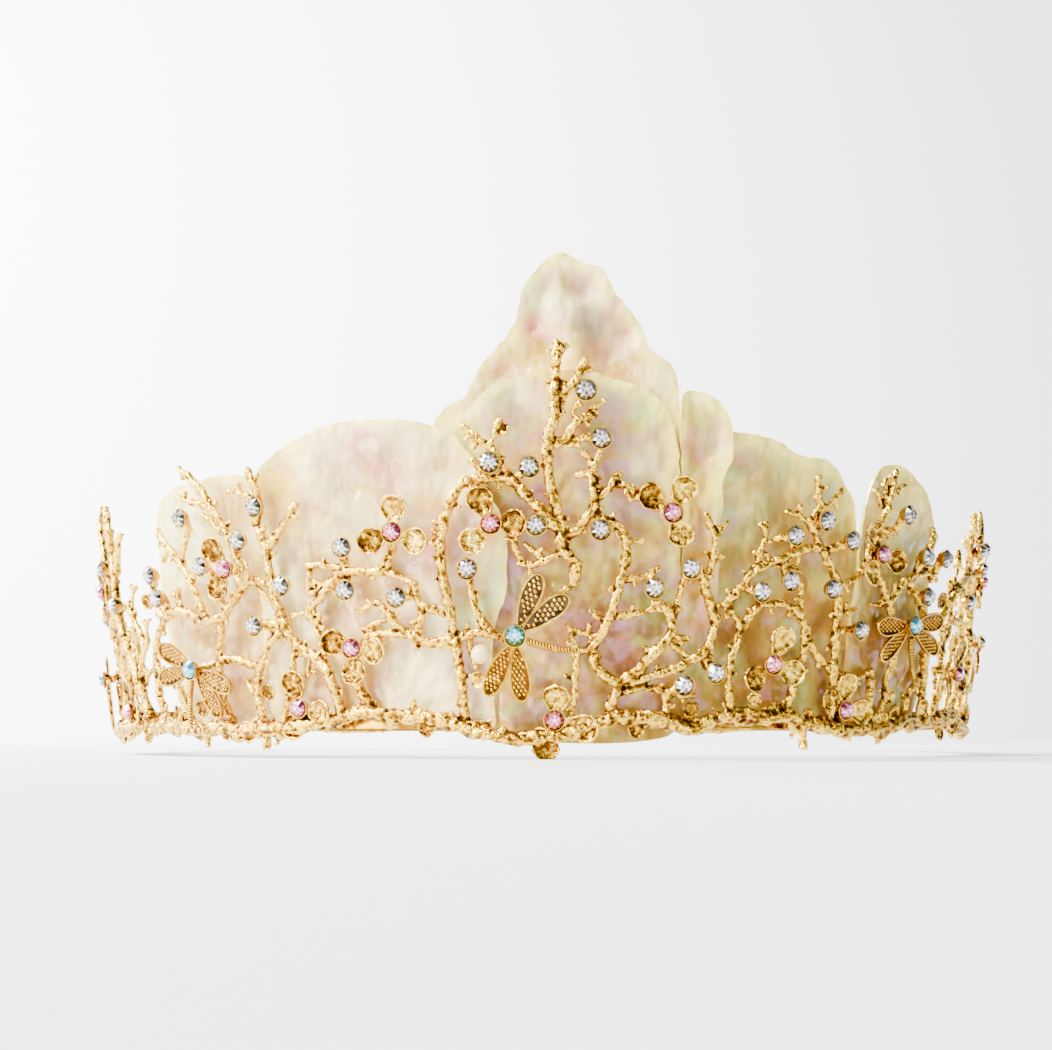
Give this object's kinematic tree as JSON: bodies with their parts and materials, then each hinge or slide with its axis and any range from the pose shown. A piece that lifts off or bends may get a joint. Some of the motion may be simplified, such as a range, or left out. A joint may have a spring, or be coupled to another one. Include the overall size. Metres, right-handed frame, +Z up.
{
  "type": "seashell crown",
  "caption": "Round crown for a head: gilt coral twigs with petals and dragonflies, mother-of-pearl shells behind, on a flat hoop.",
  "frame": {"origin": "centre of the head opening, at the hoop's lower edge", "axes": "+Z up along the head opening's axis; the front with the tall shell faces -Y; +X to the right as seen from the front"},
  "size_m": [0.1964, 0.1948, 0.0849],
  "materials": {
    "gold": "polished, with a bark texture on the twigs",
    "shell": "mother-of-pearl, satin",
    "clear_stone": "cut and polished",
    "pink_stone": "cut and polished",
    "blue_stone": "cut and polished",
    "bead": "glossy"
  },
  "bodies": {
    "root": {"hoop": "gold", "back_branch": "gold", "cream_bead": "bead", "shell_crest": "shell", "shell_center": "shell", "shell_center_right": "shell", "shell_left": "shell", "shell_right": "shell", "shell_far_left": "shell", "shell_far_right": "shell", "coral_front": "gold", "coral_left": "gold", "coral_right": "gold", "coral_far_left": "gold", "coral_far_right": "gold", "dragonfly_front": "gold", "dragonfly_left": "gold", "dragonfly_right": "gold", "dragonfly_far_left": "gold", "dragonfly_far_right": "gold", "blue_stone_front": "blue_stone", "blue_stone_left": "blue_stone", "blue_stone_right": "blue_stone", "blue_stone_far_left": "blue_stone", "blue_stone_far_right": "blue_stone", "clear_stone_1": "clear_stone", "clear_stone_2": "clear_stone", "clear_stone_3": "clear_stone", "clear_stone_4": "clear_stone", "clear_stone_5": "clear_stone", "clear_stone_6": "clear_stone", "clear_stone_7": "clear_stone", "clear_stone_8": "clear_stone", "clear_stone_9": "clear_stone", "clear_stone_10": "clear_stone", "clear_stone_11": "clear_stone", "clear_stone_12": "clear_stone", "clear_stone_13": "clear_stone", "clear_stone_14": "clear_stone", "clear_stones_left": "clear_stone", "clear_stones_right": "clear_stone", "clear_stones_far_left": "clear_stone", "clear_stones_far_right": "clear_stone", "pink_stone_1": "pink_stone", "pink_stone_2": "pink_stone", "pink_stone_3": "pink_stone", "pink_stone_4": "pink_stone", "pink_stone_5": "pink_stone", "pink_stone_6": "pink_stone", "pink_stone_7": "pink_stone", "pink_stone_8": "pink_stone", "pink_stone_9": "pink_stone", "pink_stone_10": "pink_stone", "pink_stone_11": "pink_stone", "pink_stone_12": "pink_stone", "pink_stone_13": "pink_stone", "pink_stone_14": "pink_stone"}
  },
  "joints": []
}
